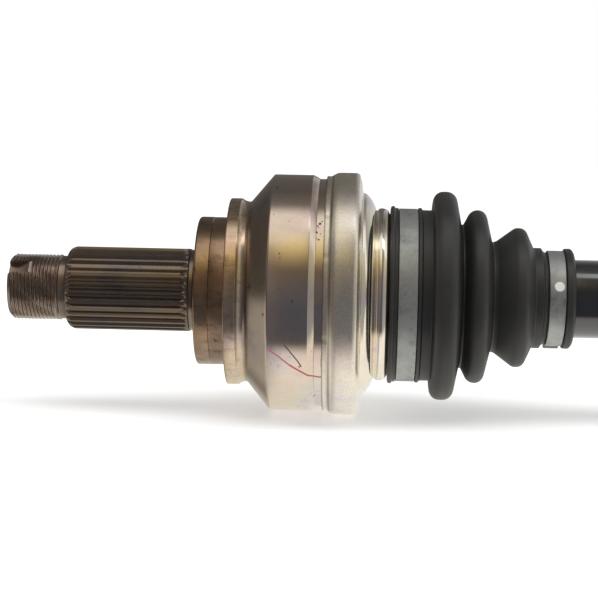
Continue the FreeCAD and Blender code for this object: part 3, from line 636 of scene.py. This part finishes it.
outer_profile = eased([
    (77.9, 35.5), (78.2, 36.2), (78.9, 36.4), (79.5, 36.25), (79.9, 35.6), (80.5, 35.55), (81.0, 35.7),
    (81.2, 34.4), (89.0, 34.4), (89.2, 35.75, 0.3), (90.4, 35.8, 0.4), (90.9, 34.95, 0.4),
    (94.9, 34.85, 0.8), (95.4, 42.6, 4.2), (104.1, 42.6, 4.2), (107.0, 27.9, 0.7), (110.8, 35.35, 4),
    (116.3, 35.35, 4), (119.5, 22.3, 0.7), (121.3, 22.9, 2), (128.9, 28.5, 3), (132.6, 28.3, 3),
    (136.2, 20.5, 0.8), (139.4, 20.5, 0.4), (140.0, 19.4, 0.3), (141.6, 18.4), (148.5, 18.4),
    (148.8, 20.4, 0.4), (151.4, 20.5, 1.2), (152.3, 19.2), (152.4, 16.9),
])
inner_profile = lining(outer_profile, OUTER_BOOT_WALL, [(77.9, 92.0, 33.05), (139.6, 152.4, 16.3)])


def rising(points):
    """Keep a profile's x in order, so that it can be cut by planes."""
    least = 0.002
    kept = [points[0]]
    for p in points[1:]:
        kept.append((max(p[0], kept[-1][0] + least), p[1]))
    return kept


outer_boot_cuts = [99.75, 107.0, 113.5]
outer_chain = ["outer_housing", "outer_upper_ball", "outer_cage", "outer_lower_ball", "bar"]
spans = [(91.5, 99.5), (100.0, 106.7), (107.3, 113.2), (113.8, 125.0)]
lengths = boot_lengths(
    "outer_boot", rising(outer_profile), rising(inner_profile), outer_boot_cuts, outer_chain)
for (length, before, after), (start, end) in zip(lengths, spans):
    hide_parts("outer_boot")
    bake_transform(length)


# Band clamps on both ends of the outer boot: zinc-plated strip pulled tight and locked by a
# pinched ear. The small one carries a dot of white paint from the maker's inspection.
def dull_zinc(dotted=False):
    metallic = 0.85
    material, shader, place, add, join = new_finish("dull_zinc_band", (0.45, 0.46, 0.44), metallic, 0.5)
    stain = cloud(add, join, place, 130, 6, 0.75)
    skin = ramp(add, join, stain, [
        (0.28, (0.24, 0.25, 0.26)), (0.43, (0.44, 0.46, 0.45)), (0.60, (0.52, 0.535, 0.515)),
        (0.75, (0.38, 0.385, 0.37))])
    metal = add("Math", operation="SUBTRACT", use_clamp=True)
    metal.inputs[0].default_value = metallic
    metal.inputs[1].default_value = 0.0
    if dotted:
        dot = spot(add, join, place, (145.6, -18.3, 6.6), 2.1, 0.3)
        skin = over(add, join, dot, skin, (0.85, 0.85, 0.84))
        join(dot, metal.inputs[1])
    join(skin, shader.inputs["Base Color"])
    join(metal.outputs["Value"], shader.inputs["Metallic"])
    join(ramp(add, join, stain, [(0.3, (0.58,)), (0.7, (0.44,))]), shader.inputs["Roughness"])
    relief(add, join, shader, cloud(add, join, place, 260, 4, 0.6), 0.0001, 0.5)
    return material


zinc = dull_zinc()
STRIP = 0.9
LARGE_WIDTH, LARGE_EAR, LARGE_TURN = 7.6, 3.0, math.radians(-60)
SMALL_WIDTH, SMALL_EAR, SMALL_TURN = 6.6, 2.0, math.radians(195)


def band_clamp(name, x, inner_r, width, ear, turn):
    """A rolled strip, the strip's lapped end and the pinched ear, joined to one piece."""
    r0, r1 = inner_r, inner_r + STRIP
    end = x + width
    band = turned(name, eased([(x, r0, 0.15), (x, r1, 0.3), (end, r1, 0.3), (end, r0, 0.15)], closed=True),
                  closed=True)
    lap_x, lap_end, lap_foot, lap_top = x + 0.1 * width, x + 0.9 * width, r1 - 0.2, r1 + STRIP * 0.8
    lap_path = eased([(lap_x, lap_foot, 0.1), (lap_x, lap_top, 0.25), (lap_end, lap_top, 0.25),
                      (lap_end, lap_foot, 0.1)], closed=True)
    lap = turned(name + "_lap", lap_path, closed=True)
    lap_half = ear * 2.6 * MM
    bpy.ops.object.mode_set(mode="EDIT")
    for side in (1, -1):
        bpy.ops.mesh.select_all(action="SELECT")
        bpy.ops.mesh.bisect(plane_co=(0, side * lap_half, 0), plane_no=(0, side, 0), clear_outer=True,
                            use_fill=True)
    bpy.ops.mesh.select_all(action="SELECT")
    bpy.ops.mesh.bisect(plane_co=(0, 0, 0), plane_no=(0, 0, -1), clear_outer=True, use_fill=False)
    bpy.ops.object.mode_set(mode="OBJECT")
    bpy.ops.object.select_all(action="DESELECT")
    bpy.ops.mesh.primitive_cube_add(size=1, location=(0, 0, 0))
    fold = bpy.context.object
    bpy.ops.object.mode_set(mode="EDIT")
    bpy.ops.transform.resize(value=(width * 0.96 * MM, ear * 0.95 * MM, ear * 1.35 * MM))
    bpy.ops.transform.translate(value=((x + width / 2) * MM, 0, (r1 + ear * 0.55) * MM))
    bpy.ops.mesh.select_all(action="SELECT")
    bpy.ops.mesh.bevel(offset=ear * 0.28 * MM, segments=4, affect="EDGES")
    bpy.ops.object.mode_set(mode="OBJECT")
    waist, waist_height, waist_reach = 0.62, 0.35, 0.5
    for v in fold.data.vertices:
        height = (v.co.z / MM - r1) / ear
        v.co.y *= waist + (1 - waist) * min(1.0, abs(height - waist_height) / waist_reach)
    band.select_set(True)
    lap.select_set(True)
    bpy.context.view_layer.objects.active = band
    bpy.ops.object.join()
    for v in band.data.vertices:
        y, z = v.co.y, v.co.z
        v.co.y = y * math.cos(turn) - z * math.sin(turn)
        v.co.z = y * math.sin(turn) + z * math.cos(turn)
    bpy.ops.object.shade_smooth_by_angle(angle=math.radians(35))
    coat(band, zinc)
    return band


large = band_clamp("outer_boot_large_band", 81.3, 34.5, LARGE_WIDTH, LARGE_EAR, LARGE_TURN)
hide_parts("outer_boot_large_clamp")
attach(large, "outer_housing")
small = band_clamp("outer_boot_small_band", 141.8, 18.6, SMALL_WIDTH, SMALL_EAR, SMALL_TURN)
coat(small, dull_zinc(dotted=True))
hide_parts("outer_boot_small_clamp")
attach(small, "bar")


# Inner joint housing: a forged bell with six straight ball tracks, waisted between them so that
# the bolt heads clear it, and a six-lobed flange with a pressed cover in its recess.
coat(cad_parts["inner_joint_housing"], forging_finish)
coat(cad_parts["inner_end_cover"], sheet_finish)


# Inner boot: the same rubber with five even folds, which take up the plunge as well as the bend.
# It is drawn in five lengths, clamped on the bar at one end and on the bell at the other.
INNER_SEAT, FOLD_DROP, INNER_BOOT_WALL = 44.7, 4.35, 2.0
FOLDS_START, FOLDS_END, FOLDS = 370.9, 434.3, 5
VALLEY_DEPTHS, LAST_VALLEY_R = (7.8, 7.8, 9.2, 9.2), 20.4
pitch = (FOLDS_END - FOLDS_START) / FOLDS
folds = []
for k in range(FOLDS):
    crest = INNER_SEAT - 0.5 - FOLD_DROP * k
    root = crest - VALLEY_DEPTHS[k] if k < len(VALLEY_DEPTHS) else LAST_VALLEY_R
    a = FOLDS_END - pitch * k
    folds += [(a - pitch * 0.18, crest, 2.2), (a - pitch * 0.52, crest, 2.2),
              (a - pitch * 0.86, root, 1.1), (a - pitch, root, 0.9)]
bar_seat = [(353.4, 16.9), (353.6, 19.2), (354.4, 20.4, 0.8), (356.3, 20.4, 0.4), (356.6, 18.4),
            (363.6, 18.4), (363.9, 20.4, 0.5)]
bell_seat = [(435.6, INNER_SEAT + 0.2, 1), (437.6, INNER_SEAT + 0.4, 0.3), (438.1, 43.8), (446.1, 43.8),
             (446.4, 45.5, 0.4), (448.8, 45.6, 0.5), (449.4, 44.8)]
inner_outer = eased(bar_seat + folds[::-1] + bell_seat)
inner_inside = lining(inner_outer, INNER_BOOT_WALL, [(353.4, 366.2, 16.35), (433.4, 449.4, 42.45)])
inner_boot_cuts = [396.15, 403.15, 409.6, 414.35]
inner_chain = ["bar", "inner_lower_ball", "inner_cage", "inner_upper_ball", "inner_boot", "inner_housing"]
lengths = boot_lengths(
    "inner_boot", rising(inner_outer), rising(inner_inside), inner_boot_cuts, inner_chain)
spans = [(383.5, 396.0), (396.3, 403.0), (403.3, 409.5), (409.7, 414.2), (414.5, 437.5)]
for (length, before, after), (start, end) in zip(lengths, spans):
    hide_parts("inner_boot")
    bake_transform(length)


# Band clamps on the inner boot: the same zinc-plated strip with its pinched ear, the large one
# pulled tight over the seat on the bell, the small one over the seat on the bar.
inner_large = band_clamp("inner_boot_large_band", 438.3, 43.92, LARGE_WIDTH, LARGE_EAR, LARGE_TURN)
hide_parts("inner_boot_large_clamp")
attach(inner_large, "inner_housing")
inner_small = band_clamp("inner_boot_small_band", 356.8, 18.6, SMALL_WIDTH, SMALL_EAR, SMALL_TURN)
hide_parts("inner_boot_small_clamp")
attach(inner_small, "bar")


# Studio floor: a white table top under the shaft. Only the camera sees it lit up to a pale ground,
# and bright metal doesn't mirror it, because the room holds what metal shows.
FLOOR_TOP = -0.0498
bpy.ops.object.select_all(action="DESELECT")
bpy.ops.mesh.primitive_plane_add(size=8, location=(0.2, 0, FLOOR_TOP))
floor = bpy.context.object
floor.name = "studio_floor"
floor.visible_glossy = False
floor_paint, floor_shader, floor_place, floor_add, floor_join = new_finish(
    "studio_floor_white", (0.93, 0.93, 0.92), 0, 0.6)
floor_shader.inputs["Specular IOR Level"].default_value = 0.2
floor_grain = cloud(floor_add, floor_join, floor_place, 3, 2)
floor_join(ramp(floor_add, floor_join, floor_grain, [(0.3, (0.93, 0.93, 0.92)), (0.7, (0.95, 0.95, 0.94))]),
           floor_shader.inputs["Base Color"])
floor_split = floor_add("SeparateXYZ")
floor_join(floor_place, floor_split.inputs["Vector"])
far_lift = floor_add("MapRange")
for socket, value in (("From Min", 0.05), ("From Max", 0.4), ("To Min", 0.42), ("To Max", 0.70)):
    far_lift.inputs[socket].default_value = value
floor_join(floor_split.outputs["Y"], far_lift.inputs["Value"])
rays = floor_add("LightPath")
lift = product(floor_add, floor_join, rays.outputs["Is Camera Ray"], far_lift.outputs["Result"])
floor_shader.inputs["Emission Color"].default_value = (1, 1, 1, 1)
floor_join(lift, floor_shader.inputs["Emission Strength"])
floor.data.materials.append(floor_paint)


# The room: plain white to the eye, and for bright metal a set of bands by direction: a pale table
# below, a dark room in front, warm and white strips overhead. They change along the shaft.
world = bpy.data.worlds.new("studio_room")
bpy.context.scene.world = world
world.use_nodes = True
world.cycles.sampling_method = "NONE"
sky_tree = world.node_tree
sky_join = sky_tree.links.new


def sky_add(kind, **settings):
    node = sky_tree.nodes.new("ShaderNode" + kind)
    for key, value in settings.items():
        setattr(node, key, value)
    return node


heading = sky_add("SeparateXYZ")
sky_join(sky_add("TexCoord").outputs["Generated"], heading.inputs["Vector"])
toward = sky_add("Math", operation="MULTIPLY")
sky_join(heading.outputs["Y"], toward.inputs[0])
toward.inputs[1].default_value = -1
height = sky_add("Math", operation="ARCTAN2")
sky_join(heading.outputs["Z"], height.inputs[0])
sky_join(toward.outputs["Value"], height.inputs[1])
share = sky_add("MapRange")
share.inputs["From Min"].default_value = -math.pi
share.inputs["From Max"].default_value = math.pi
sky_join(height.outputs["Value"], share.inputs["Value"])


def sky_bands(stops):
    """What a shiny piece mirrors, by the height angle: 0 is towards the front, 90 straight up."""
    node = sky_add("ValToRGB")
    while len(node.color_ramp.elements) < len(stops):
        node.color_ramp.elements.new(0.5)
    for element, (degrees, colour) in zip(node.color_ramp.elements, stops):
        element.position = (degrees + 180) / 360
        element.color = (*colour, 1)
    sky_join(share.outputs["Result"], node.inputs["Fac"])
    return node.outputs["Color"]


def sky_side(start, full, below, above):
    """Change from one set of bands to another with the heading along the shaft."""
    part = sky_add("MapRange")
    part.inputs["From Min"].default_value = start
    part.inputs["From Max"].default_value = full
    sky_join(heading.outputs["X"], part.inputs["Value"])
    mix = sky_add("Mix", data_type="RGBA")
    sky_join(part.outputs["Result"], mix.inputs["Factor"])
    sky_join(below, mix.inputs["A"])
    sky_join(above, mix.inputs["B"])
    return mix.outputs["Result"]


table = [(-120, (0.90, 0.90, 0.84)), (-85, (1.0, 0.99, 0.96)), (-64, (1.0, 0.94, 0.92)),
         (-55, (0.92, 0.84, 0.81)), (-45, (0.10, 0.092, 0.102)), (-10, (0.088, 0.094, 0.120))]
front = sky_bands([(-180, (0.55, 0.53, 0.48)), (-160, (0.80, 0.78, 0.68))] + table + [
    (12, (0.14, 0.12, 0.12)), (27, (0.16, 0.125, 0.10)), (36, (0.36, 0.29, 0.16)), (47, (0.78, 0.64, 0.30)),
    (57, (1.0, 0.88, 0.58)), (66, (0.92, 0.87, 0.80)), (86, (0.93, 0.91, 0.88)), (98, (0.18, 0.165, 0.155)),
    (120, (0.10, 0.095, 0.09)), (145, (0.12, 0.115, 0.11)), (180, (0.16, 0.15, 0.14))])
right = sky_bands([(-180, (0.9, 0.88, 0.84))] + table + [
    (12, (0.09, 0.09, 0.095)), (55, (0.11, 0.11, 0.11)), (68, (0.20, 0.20, 0.20)), (73, (2.2, 2.2, 2.2)),
    (82, (2.2, 2.2, 2.2)), (88, (0.30, 0.30, 0.30)), (120, (0.12, 0.115, 0.11)), (150, (0.3, 0.3, 0.3)),
    (180, (0.7, 0.7, 0.7))])
far_right = sky_bands([(-180, (0.9, 0.88, 0.84)), (-110, (0.95, 0.93, 0.86)), (-60, (1.0, 0.97, 0.90)),
                       (-45, (0.38, 0.38, 0.39)), (0, (0.30, 0.30, 0.32)), (30, (0.40, 0.37, 0.30)),
                       (58, (0.60, 0.56, 0.44)), (70, (1.0, 1.0, 0.97)), (92, (0.85, 0.84, 0.82)),
                       (110, (0.30, 0.29, 0.28)), (180, (0.7, 0.7, 0.7))])
left = sky_bands([
    (-180, (0.13, 0.12, 0.11)), (-160, (0.14, 0.13, 0.115)), (-146, (0.32, 0.29, 0.26)),
    (-137, (0.8, 0.75, 0.68)), (-128, (0.62, 0.57, 0.52)), (-110, (0.7, 0.66, 0.6)),
    (-90, (0.9, 0.87, 0.8)), (-50, (0.5, 0.47, 0.44)), (-40, (0.10, 0.09, 0.09)),
    (60, (0.13, 0.11, 0.09)), (90, (0.6, 0.57, 0.52)), (105, (0.12, 0.11, 0.10)),
    (180, (0.12, 0.11, 0.10))])
past_stub = sky_bands([
    (-180, (0.55, 0.53, 0.48)), (-160, (0.66, 0.64, 0.58)), (-120, (0.60, 0.58, 0.53)),
    (-85, (0.55, 0.53, 0.50)), (-64, (0.50, 0.47, 0.46)), (-53, (0.42, 0.39, 0.38)),
    (-45, (0.13, 0.12, 0.125)), (-10, (0.13, 0.125, 0.14)), (12, (0.19, 0.165, 0.16)),
    (30, (0.22, 0.18, 0.155)), (47, (0.46, 0.39, 0.30)), (57, (0.85, 0.77, 0.66)),
    (66, (0.98, 0.92, 0.86)), (86, (1.0, 0.98, 0.95)), (98, (0.20, 0.185, 0.175)),
    (120, (0.11, 0.105, 0.10)), (180, (0.16, 0.15, 0.14))])
seen = sky_side(0.30, 0.50, right, far_right)
seen = sky_side(0.08, 0.115, front, seen)
seen = sky_side(-0.13, -0.10, past_stub, seen)
seen = sky_side(-0.50, -0.35, left, seen)
room_light = sky_tree.nodes["Background"]
sky_join(seen, room_light.inputs["Color"])
room_light.inputs["Strength"].default_value = 1
plain = sky_add("Background")
plain.inputs["Color"].default_value = (1, 1, 1, 1)
sky_rays = sky_add("LightPath")
level = sky_add("MapRange")
level.inputs["To Min"].default_value = 0.45
level.inputs["To Max"].default_value = 1.0
sky_join(sky_rays.outputs["Is Camera Ray"], level.inputs["Value"])
sky_join(level.outputs["Result"], plain.inputs["Strength"])
choice = sky_add("MixShader")
sky_join(sky_rays.outputs["Is Glossy Ray"], choice.inputs[0])
sky_join(plain.outputs["Background"], choice.inputs[1])
sky_join(room_light.outputs["Background"], choice.inputs[2])
sky_join(choice.outputs["Shader"], sky_tree.nodes["World Output"].inputs["Surface"])


# Softbox: one long lamp hung above the shaft and a little in front of it, turned to face it. It
# gives the soft light from above, while bright metal mirrors the room's bands in its place.
SOFTBOX_LONG, SOFTBOX_WIDE, SOFTBOX_UP, SOFTBOX_OUT = 2.4, 0.62, 0.97, 0.26
bpy.ops.object.light_add(type="AREA", location=(0.15, -SOFTBOX_OUT, SOFTBOX_UP))
softbox = bpy.context.object
softbox.name = "overhead_softbox"
softbox.visible_glossy = False
softbox.data.shape = "RECTANGLE"
softbox.data.size, softbox.data.size_y = SOFTBOX_LONG, SOFTBOX_WIDE
softbox.data.energy = 2.0 * math.pi * SOFTBOX_LONG * SOFTBOX_WIDE
softbox.rotation_euler = (-math.atan2(SOFTBOX_OUT, SOFTBOX_UP), 0, 0)


# Camera: a long lens on a stand, close to the stub end, tipped a few degrees down and held a little
# askew, so that the bar runs out of the frame on the right.
eye, yaw, pitch_down, roll = 0.7066, math.radians(-2.3), math.radians(6.0), math.radians(1.10)
target = (0.0411, 0.0, -0.00268)
ahead = (math.sin(yaw) * math.cos(pitch_down), math.cos(yaw) * math.cos(pitch_down), -math.sin(pitch_down))
bpy.ops.object.camera_add(location=[t - a * eye for t, a in zip(target, ahead)])
camera = bpy.context.object
camera.name = "photo_camera"
camera.rotation_mode = "QUATERNION"
camera.rotation_quaternion = Vector(ahead).to_track_quat("-Z", "Y") @ Quaternion((0, 0, 1), roll)
camera.data.sensor_width = 36
camera.data.lens = 103.4
camera.data.clip_end = 50
bpy.context.scene.camera = camera
bpy.context.scene.view_settings.view_transform = "Standard"
